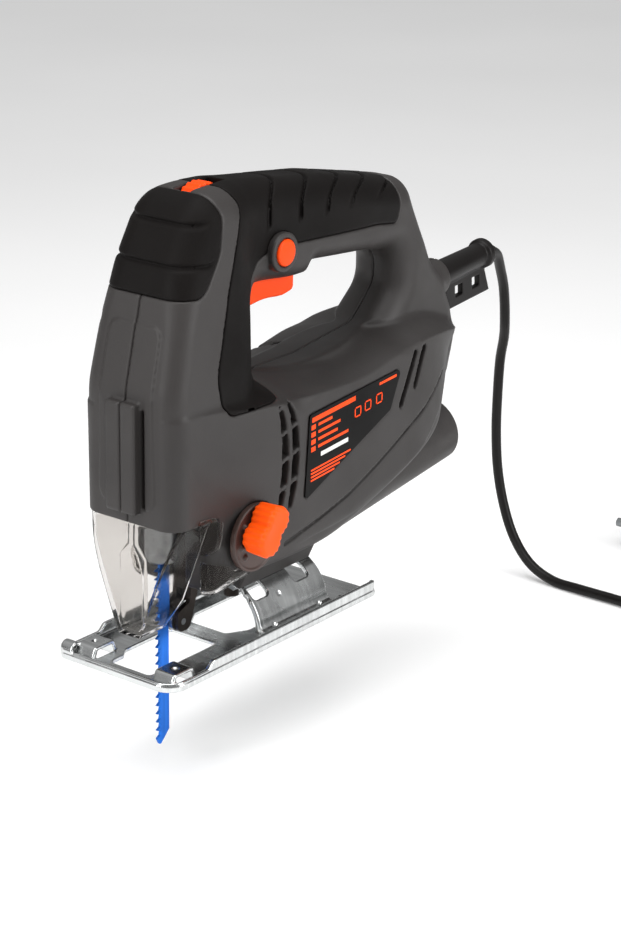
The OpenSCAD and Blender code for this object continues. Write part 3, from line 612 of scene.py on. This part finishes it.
def housing_form(x, y, z):
    outside = body_form(x, y, z)
    form = covered(pad_zone, covered(grip_zone, outside, x, z), x, z)
    # vents: long lens-shaped recesses, crossed by slanted bars
    for column in vent_columns:
        lens = path_distance(column, x, z) - 2.5 * np.sqrt(np.clip(1 - ((z - 86) / 28) ** 2, 0, 1)) + 0.2
        lens = np.maximum(lens, z - 110.5)
        bars = np.abs((z - 0.3 * x - 1.5) % 12.6 - 6.3) - 0.9
        cut = np.maximum(lens, -(outside + 4))
        form = np.maximum(form, -np.maximum(cut, -np.maximum(bars, outside + 0.35)))
    for slot in rear_vents:
        form = np.maximum(form, -np.maximum(path_distance(slot, x, z) - 1.7, -(outside + 7)))
    groove = path_distance(swoosh, x, z) - 1.1
    form = smax(form, -both(groove, -(outside + 1.2), 0.2), 0.5)
    # slots beside the keel and the parting line
    slot = np.maximum(np.abs(np.abs(y) - 9.4) - 0.9, np.maximum(np.abs(z - 98) - 22, np.abs(x + 22) - 5))
    form = np.maximum(form, -np.maximum(slot, -(outside + 4)))
    label = np.maximum(label_zone(x, z) - 0.4, np.where(y < 0, -(outside + 0.35), FAR))
    form = np.maximum(form, -label)
    form = np.maximum(form, -(outside + WALL))
    along, around = boot_line(x, y, z)
    form = smin(form, both(around - 9.4, np.abs(along - 6) - 9, 2.5), 3)
    button = np.hypot(x - 59, z - 173.4)
    ring = both(button - 8.9, np.abs(y + 18.4) - 2.4, 0.9)
    form = smin(form, np.where(y < 0, ring, FAR), 0.5)
    return openings(form, x, y, z)


def openings(form, x, y, z):
    trigger_slot = np.maximum(np.maximum(np.abs(x - 63.9) - 20.6, np.abs(y) - 7.6), np.abs(z - 154) - 14)
    dial_slot = np.maximum(np.maximum(np.abs(x - 26) - 11.5, np.abs(y) - 4.7), np.abs(z - 205.5) - 14)
    under = np.maximum(np.maximum(np.abs(x + 0.25) - 12.75, np.abs(y) - 11), np.abs(z - 68) - 4)
    fork_gap = np.maximum(np.maximum(np.abs(x - 13) - 10.5, np.abs(y) - 7.5), np.abs(z - 48) - 21)
    along, around = boot_line(x, y, z)
    boot_hole = np.maximum(around - 5.5, -along - 4)
    along, around = tube_line(x, y, z)
    tube_gap = np.maximum(around - 16.7, -along - 1.2)
    shaft = np.hypot(x - 26, z - 55)
    knob = np.where(y < 0, np.minimum(np.maximum(shaft - 15.7, y + 29.4), shaft - 3.9), FAR)
    lock = np.where(y < 0, np.hypot(x - 59, z - 173.4) - 6.2, FAR)
    for cut in (trigger_slot, dial_slot, under, fork_gap, boot_hole, tube_gap, knob, lock):
        form = np.maximum(form, -cut)
    for sx, sz in screw_spots:
        around = np.hypot(x - sx, z - sz)
        form = np.maximum(form, -np.where(y > 12, around - 3.1, np.where(y > -13.8, around - 1.7, FAR)))
    return form


LABEL_CORNERS = [[59, 62.5, 1.5], [122, 89, 2], [130, 107, 2], [62, 101.4, 1.5]]
label_zone = Outline(LABEL_CORNERS)


def half_of(form, sign, gap):
    """The half of a form on one side of the parting line, its edge eased."""
    return lambda x, y, z: both(form(x, y, z), gap - sign * y, 0.35)


def cover_form(zone, grooves):
    def form(x, y, z):
        outside = body_form(x, y, z)
        edge = zone(x, z) + 0.22
        made = both(outside - 0.15 + grooves(x, y, z), edge, 1.0)
        made = np.maximum(made, -(outside + COVER - 0.1))
        trigger_slot = np.maximum(np.maximum(np.abs(x - 63.9) - 20.6, np.abs(y) - 7.7), np.abs(z - 154) - 14)
        dial_slot = np.maximum(np.maximum(np.abs(x - 26) - 11.5, np.abs(y) - 4.7), np.abs(z - 197.5) - 20)
        ring = np.where(y < 0, np.hypot(x - 59, z - 173.4) - 8.7, FAR)
        made = np.maximum(made, -np.minimum(np.minimum(trigger_slot, dial_slot), ring))
        for sx, sz in screw_spots:
            made = np.maximum(made, -np.where(y > 0, np.hypot(x - sx, z - sz) - 3.1, FAR))
        return made
    return form


def grip_grooves(x, y, z):
    depth = 0
    for top, sweep in ((67, 0.053), (91, 0.057), (115, 0.069), (135, 0.075), (153, 0.072)):
        off = np.abs(x - top + sweep * y * y) * 0.85
        depth = depth + 1.8 * np.exp(-(off / 1.0) ** 2) * smooth(183.5, 187, z)
    return depth


def pad_grooves(x, y, z):
    depth = 0
    for level in (179, 195):
        rise = np.maximum(x - 4, 0) ** 2 * 0.06
        off = np.abs(z - level - rise)
        depth = depth + 1.5 * np.exp(-(off / 1.0) ** 2) * smooth(10, 5, x)
    return depth


for name, sign in (("left", -1), ("right", 1)):
    low = (-29, min(0, sign * 34), 28)
    high = (209, max(0, sign * 34), 210)
    piece = carve("shell_" + name, half_of(housing_form, sign, GAP), low, high, FINE)
    place(piece, "frame_body", paint["housing"], "housing", "housing_" + name)

for name, zone, grooves, low, high, nodes in (
        ("grip_cover", grip_zone, grip_grooves, (4, -30, 108), (154, 30, 210), ("grip_left", "grip_right")),
        ("nose_cover", pad_zone, pad_grooves, (-24, -30, 163), (18, 30, 210), ("nose_pad_left", "nose_pad_right"))):
    piece = carve(name, cover_form(zone, grooves), low, high, FINE * 0.85)
    place(piece, "frame_body", paint["soft_rubber"], "soft_rubber", *nodes)


# ---------------------------------------------------------------- shoe, bracket and guard
shoe_edge = Outline([[-31, -32.5, 9], [114, -32.5, 1.5], [114, 32.5, 1.5], [-31, 32.5, 3]])
blade_window = Outline([[-24, -14, 2], [20.5, -14, 2], [20.5, 12.5, 2], [-10, 12.5, 3], [-15, 9, 2], [-24, 9, 3]])
rear_window = Outline([[31.5, -10, 2], [41, -15.5, 3], [92, -15.5, 3], [92, 15.5, 3], [41, 15.5, 3],
                       [31.5, 10, 2]])
loop_outer = Outline([[-8.6, 1, 0.3], [8.6, 1, 0.3], [6, 7, 1.6], [-6, 7, 1.6]])
loop_inner = Outline([[-7, -3, 0.3], [7, -3, 0.3], [4.8, 5.5, 1.0], [-4.8, 5.5, 1.0]])


def shoe_form(x, y, z):
    edge = shoe_edge(x, y)
    plate = both(edge, -z, 0.8)
    height = 3.9 + 3.1 * smooth(-7, -2, x)
    wall = np.maximum(np.maximum(-edge - 1.9, both(edge, -z, 0.8)), z - height)
    wall = np.maximum(wall, np.minimum(x - 108, 30 - np.abs(y)))
    form = smin(np.maximum(plate, z - 2), wall, 1.6)
    form = smax(form, -blade_window(x, y), 0.6)
    form = smax(form, -rear_window(x, y), 0.6)
    slot = np.hypot(np.maximum(np.abs(x - 103) - 3, 0), y) - 2.75
    form = smax(form, -slot, 0.6)
    u, v = x + 20, np.where(y > 0, y - 20.9, -y - 24.4)
    under = np.maximum(loop_inner(u, z), np.abs(v) - 6.5)
    form = np.maximum(form, -np.maximum(under, -(v + 5.5)))
    loop = both(loop_outer(u, z), np.abs(v) - 5.5, 0.5)
    loop = np.maximum(loop, -loop_inner(u, z))
    dimple = np.sqrt(u * u + (v - 0.5) ** 2 + (z - 7.7) ** 2) - 1.7
    form = smin(form, smax(loop, -dimple, 0.4), 0.7)
    curl = both(np.abs(np.hypot(x + 27.4, z - 4) - 2.8) - 0.7, np.abs(y - 28.6) - 3.4, 0.4)
    form = smin(form, np.maximum(curl, 3 - z), 0.8)
    for dx, dy in ((98, 25), (25, 24), (60, 30)):
        form = smax(form, -(np.sqrt((x - dx) ** 2 + (np.abs(y) - dy) ** 2 + (z - 3.2) ** 2) - 1.9), 0.4)
    return form


def bracket_form(x, y, z):
    radius, angle = np.hypot(y, z - 1.5), np.arctan2(np.abs(y), z - 1.5)
    arch = np.maximum(np.abs(radius - 21.8) - 1.2, 1.9 - z)
    foot = np.maximum(np.abs(np.abs(y) - 25.2) - 3.8, np.abs(z - 2.9) - 0.9)
    form = smin(arch, foot, 3.0)
    # a corrugated detent edge at the front, plain at the rear
    front = 40.2 + 1.1 * np.abs(np.sin(angle * 9)) * smooth(0.9, 0.75, angle)
    form = both(form, np.maximum(front - x, x - 90), 0.5)
    bead = np.hypot(radius - 21.8, x - 41.2) - 1.15
    form = smin(form, np.maximum(np.maximum(bead, 3 - z), 0.95 - angle), 0.8)
    s = np.maximum(angle * 21.8 - 17.3, 0)
    for x0 in (48, 77):
        window = np.hypot(np.maximum(np.abs(x - x0) - 3.4, 0), s) - 2.1
        form = smax(form, -window, 0.5)
    for dx in (49.3, 81.6):
        form = smax(form, -(np.sqrt((x - dx) ** 2 + (np.abs(y) - 25.4) ** 2 + (z - 5) ** 2) - 2.1), 0.4)
        stamp = np.hypot(np.maximum(np.abs(x - dx - 9.5) - 0.5, 0),
                         np.maximum(np.abs(angle - 0.95) * 21.8 - 0.6, 0)) - 0.45
        form = smax(form, -np.maximum(stamp, 22.7 - radius), 0.2)
    return form


def seat_form(x, y, z):
    block = both(np.abs(y) - 11.5 - 0.45 * np.maximum(z - 20, 0), np.maximum(np.abs(x - 64) - 26, z - 34), 1.5)
    block = np.maximum(np.maximum(block, 18.1 - z), 23.2 - np.hypot(y, z - 1.5))
    for x0 in (48, 77):
        block = np.maximum(block, 2.05 - np.hypot(x - x0, y))
    return block


seat = carve("seat", seat_form, (36, -19, 17), (98, 19, 36), SMALL * 1.2)
place(seat, "frame_body", paint["housing"], "black_plastic", "bracket_seat")
shoe = carve("shoe", shoe_form, (-33, -34, -1.5), (116, 34, 9), SMALL * 1.1)
place(shoe, "shoe_body", paint["zinc_steel"], "zinc_steel", "base_plate")
bracket = carve("bevel_arch", bracket_form, (38, -31, 0.5), (92, 31, 26), SMALL * 1.1)
place(bracket, "shoe_body", paint["zinc_steel"], "zinc_steel", "bevel_bracket")

guard_plan = Outline([[-21.4, -26.6, 11], [40, -26.6, 0.2], [40, 26.6, 0.2], [-21.4, 26.6, 11]])
guard_front = Outline([[-6.4, 15.4, 2.5], [6.4, 15.4, 2.5], [26, 68, 0], [26, 90, 0], [-26, 90, 0], [-26, 68, 0]])
guard_tab = Outline([[-8, 66, 0.5], [-7, 70.5, 1.2], [3, 69.5, 1.5], [8, 66, 1.5], [6.8, 53, 1], [5, 46, 1],
                     [13, 44.2, 1], [15, 41.6, 1],
                     [27.7, 41.4, 0.8], [24, 36.8, 1], [13, 31.5, 2], [5, 28, 1], [0, 40, 1], [0, 66, 1]])
rib_path = [(-1.5, 68), (-1.5, 59), (3.5, 53), (3.5, 23), (0.5, 18.6), (-6.5, 18.6), (-9.5, 23), (-9.5, 53),
            (-4.5, 59), (-4.5, 68)]


def guard_form(x, y, z):
    inside = np.maximum(np.maximum(guard_plan(x, y), guard_front(y, z)), -(x + 21.5) - (60 - z) * 0.045)
    wall = np.abs(inside + 0.75) - 0.75
    wall = np.maximum(wall, np.maximum(z - 67.9, 15.6 - z))
    wall = np.maximum(wall, (x - 2.0) * 0.84 + (28 - np.minimum(z, 28)) * 0.54)
    rib = np.hypot(path_distance(rib_path, y, z), inside) - 0.8
    rib = np.maximum(rib, np.maximum(x + 8, np.maximum(15.4 - z, z - 67.9)))
    form = smin(wall, rib, 0.5)
    skin = np.maximum(np.abs(body_form(x, y, z) - 0.85) - 0.55, guard_tab(x, z))
    side_rib = np.hypot(np.abs(guard_tab(x, z) + 0.7), body_form(x, y, z) - 1.1) - 0.55
    skin = smin(skin, np.maximum(side_rib, 30 - z), 0.4)
    return np.minimum(form, np.maximum(skin, np.maximum(17 - np.abs(y), -x - 9)))


guard = carve("clear_guard", guard_form, (-24, -34, 14), (30, 34, 72), SMALL * 1.1)
place(guard, "frame_body", paint["clear"], "clear", "blade_guard")


# ---------------------------------------------------------------- controls, boot and label
def knob_form(x, y, z):
    u, v = x - 26, z - 55
    lower = np.hypot(u + 5.4, v - 2.4)
    upper = np.hypot(u - 0.6, v - 10.6)
    waist = path_distance([(-5.4, 2.4), (0.6, 10.6)], u, v) - 4.9
    ridge = 0.3 * np.cos(2.3 * (0.59 * u + 0.81 * v))
    lobes = smin(smin(lower - 6.4, upper - 6.0, 1.2), waist, 1.2)
    lobes = lobes - ridge * smooth(-1.5, 0, np.minimum(lower, upper) - 4.5)
    form = both(lobes + 0.06 * (y + 33), np.abs(y + 39) - 6.1, 2.0)
    dish = np.sqrt((u + 2.4) ** 2 + (v - 6.5) ** 2 + (y + 60) ** 2) - 15.4
    hub = both(np.hypot(u, v) - 5.6, np.abs(y + 36) - 3.2, 0.4)
    form = smin(smax(form, -dish, 1.0), hub, 0.3)
    return np.maximum(form, -np.maximum(np.hypot(u, v) - 3.4, -40 - y))


def scale_form(x, y, z):
    u, v = x - 26, z - 55
    r = np.hypot(u, v)
    disc = both(r - 15.4, np.abs(y + 31.05) - 1.5, 0.5)
    disc = smax(disc, -both(np.abs(r - 9) - 5.0, y + 32.1, 0.2), 0.3)
    for angle in (88, 139, 190, 222):
        a = math.radians(angle)
        pip = np.sqrt((u - 10.5 * math.cos(a)) ** 2 + (v - 10.5 * math.sin(a)) ** 2 + (y + 32.0) ** 2) - 1.5
        disc = smin(disc, pip, 0.3)
    return np.maximum(disc, 3.7 - r)


def boot_form(x, y, z):
    along, around = boot_line(x, y, z)
    tube = np.maximum(around - 6.9 + 0.022 * along, np.maximum(-along, along - 54))
    lip = both(around - 7.4, np.abs(along - 53.6) - 2.4, 1.4)
    collar = both(around - 7.6, np.abs(along - 8) - 5.2, 1.2)
    u = (x - 188) * -math.sin(math.radians(5)) + (z - 128.2) * math.cos(math.radians(5))
    flag = np.maximum(np.abs(u + 11.3) - 8.6, np.abs(along - 37.5) - 17.5 + 0.3 * (u + 11))
    flag = both(flag, np.abs(y) - 1.6, 0.6)
    for at in (31.5, 46):
        flag = smax(flag, -np.maximum(np.abs(along - at) - 3, np.abs(u + 12.2) - 2.7), 0.6)
    form = smin(smin(tube, lip, 1.5), smin(collar, flag, 1.2), 1.2)
    return np.maximum(form, -(around - 2.75))


trigger_side = Outline([[46, 148, 2.5], [76, 148.3, 5], [82.8, 149.6, 2.5], [83, 163.2, 1], [46, 163.2, 1]])


def trigger_form(x, y, z):
    hollow = np.hypot(x - 62, z - 118) - 31
    form = both(smax(trigger_side(x, z), -hollow, 2), np.abs(y) - 6.9, 1.6)
    return np.maximum(form, 1.8 - np.hypot(x - 80, z - 160))


def button_form(x, y, z):
    r = np.hypot(x - 59, z - 173.4)
    dome = np.sqrt(r * r + (y - 40) ** 2) - 61.9
    return both(both(r - 5.95, dome, 0.8), y + 11.7, 0.3)


def dial_form(x, y, z):
    u, v = x - 26, z - 194.5
    r, angle = np.hypot(u, v), np.arctan2(v, u)
    form = both(r - 12.7 - 0.35 * np.cos(24 * angle), np.abs(y) - 4, 0.8)
    return np.maximum(form, 2.3 - r)


for name, form, low, high, body, slot, node in (
        ("pendulum_lever", knob_form, (12, -46, 44), (38, -31, 76), "knob_body", "knob_orange", "pendulum_knob"),
        ("pendulum_disc", scale_form, (9, -34, 38), (43, -28, 72), "frame_body", "black_plastic", "pendulum_scale"),
        ("boot", boot_form, (184, -11, 108), (247, 11, 148), "frame_body", "black_plastic", "cord_boot"),
        ("trigger_shoe", trigger_form, (44, -9, 146), (85, 9, 165), "trigger_body", "orange", "trigger"),
        ("lock_on_button", button_form, (51, -23, 166), (67, -10, 181), "lock_body", "orange", "lock_button"),
        ("speed_wheel", dial_form, (11, -6, 180), (41, 6, 209), "dial_body", "orange", "speed_dial")):
    finish = paint["disc"] if name == "pendulum_disc" else paint[slot]
    place(carve(name, form, low, high, SMALL), body, finish, slot, node)

corners = rounded(LABEL_CORNERS, 6)


TILT = 0.08                      # slope of the print on the label


def sheet_of(outlines, front, back):
    """Thin flat shapes that face -Y, as points and faces."""
    points, faces = [], []
    for outline in outlines:
        n, start = len(outline), len(points)
        points += [(p[0], front, p[1]) for p in outline] + [(p[0], back, p[1]) for p in outline]
        faces += [[start + i for i in range(n)], [start + n + i for i in reversed(range(n))]]
        faces += [[start + i, start + n + i, start + n + (i + 1) % n, start + (i + 1) % n] for i in range(n)]
    return points, faces


def bar(x0, x1, z, height):
    """The corners of one printed bar, which rises a little to the rear."""
    z0, z1 = z + TILT * (x0 - 60), z + TILT * (x1 - 60)
    return [(x0, z0), (x1, z1), (x1, z1 + height), (x0, z0 + height)]


LABEL_Y = -32.62                 # the label's face
PRINT = LABEL_Y - 0.26, LABEL_Y - 0.15
lines = [(63.5, 95, 97.4, 2.2), (63, 66, 94, 2.2), (68, 78, 94.6, 1.3), (63, 66, 90.6, 2.2), (68, 84, 91.2, 1.3),
         (63, 66, 87.2, 2.2), (68, 82, 87.8, 1.3), (63, 66, 83.8, 2.2), (68, 90, 84.4, 1.3),
         (113, 126, 98.6, 1.2), (63, 92, 74.8, 0.8), (63, 88, 73.2, 0.8),
         (63, 84, 71.6, 0.8), (63, 80, 70.0, 0.8)]
marks = [bar(*m) for m in lines]
ring_at = [(97, 91.5), (104.5, 92), (113, 92.5)]
for cx, cz in ring_at:
    marks += [bar(cx - 2.4, cx + 2.4, cz - 2.4, 0.6), bar(cx - 2.4, cx + 2.4, cz + 1.8, 0.6),
              bar(cx - 2.4, cx - 1.8, cz - 2.4, 4.8),
              bar(cx + 1.8, cx + 2.4, cz - 2.4, 4.8)]
plate = add("label_plate", *sheet_of([corners], LABEL_Y - 0.2, LABEL_Y + 0.3), flat=True)
place(plate, "frame_body", paint["label"], "label", "rating_label")
place(add("label_marks", *sheet_of(marks, *PRINT), flat=True), "frame_body", paint["orange"], "orange")
strip = add("label_strip", *sheet_of([bar(70, 90, 79.8, 2)], *PRINT), flat=True)
place(strip, "frame_body", paint["white_print"], "label")


# ---------------------------------------------------------------- floor and lights
floor_mesh = bpy.data.meshes.new("floor")
FLOOR_Z = -0.0552
points = [(x, y, FLOOR_Z) for x, y in ((-7, -7), (7, -7), (7, 7), (-7, 7))]
floor_mesh.from_pydata(points, [], [(0, 1, 2, 3)])
floor = bpy.data.objects.new("floor", floor_mesh)
bpy.context.scene.collection.objects.link(floor)
floor_look = Maker("floor", 0.9, specular=0.1)
floor_tone = floor_look.ramp(floor_look.noise(3), [(0.3, (0.86, 0.86, 0.86)), (0.7, (0.9, 0.9, 0.9))])
floor_mesh.materials.append(floor_look.done(floor_tone))
floor_look.shader.inputs["Emission Color"].default_value = (1, 1, 1, 1)
floor_look.shader.inputs["Emission Strength"].default_value = 0.16

world = bpy.data.worlds.new("studio")
bpy.context.scene.world = world
world.use_nodes = True
sky = world.node_tree
direction = sky.nodes.new("ShaderNodeTexCoord")
height = sky.nodes.new("ShaderNodeSeparateXYZ")
tone = sky.nodes.new("ShaderNodeValToRGB")
stops = list(tone.color_ramp.elements) + [tone.color_ramp.elements.new(0.5)]
for stop, (at, level) in zip(stops, ((0.0, 0.25), (1.0, 1.6), (0.25, 0.45))):
    stop.position, stop.color = at, (level, level, level, 1)
sky.links.new(direction.outputs["Generated"], height.inputs[0])
sky.links.new(height.outputs["Z"], tone.inputs["Fac"])
sky.links.new(tone.outputs["Color"], sky.nodes["Background"].inputs["Color"])
world.node_tree.nodes["Background"].inputs["Strength"].default_value = 0.6
bpy.context.scene.view_settings.view_transform = "Standard"


def lamp(name, at, towards, size, power):
    data = bpy.data.lights.new(name, "AREA")
    data.shape = "RECTANGLE"
    data.size, data.size_y = size
    data.energy = power
    made = bpy.data.objects.new(name, data)
    bpy.context.scene.collection.objects.link(made)
    made.location = at
    made.rotation_euler = (Vector(towards) - Vector(at)).to_track_quat("-Z", "Y").to_euler()


centre = (0.09, 0, 0.09)
lamp("overhead", (-0.1, -0.1, 1.1), centre, (0.9, 0.9), 9)
lamp("left", (-0.95, 0.25, 0.55), centre, (0.3, 0.9), 7)
lamp("right", (0.35, -1.05, 0.45), centre, (0.5, 0.8), 8)
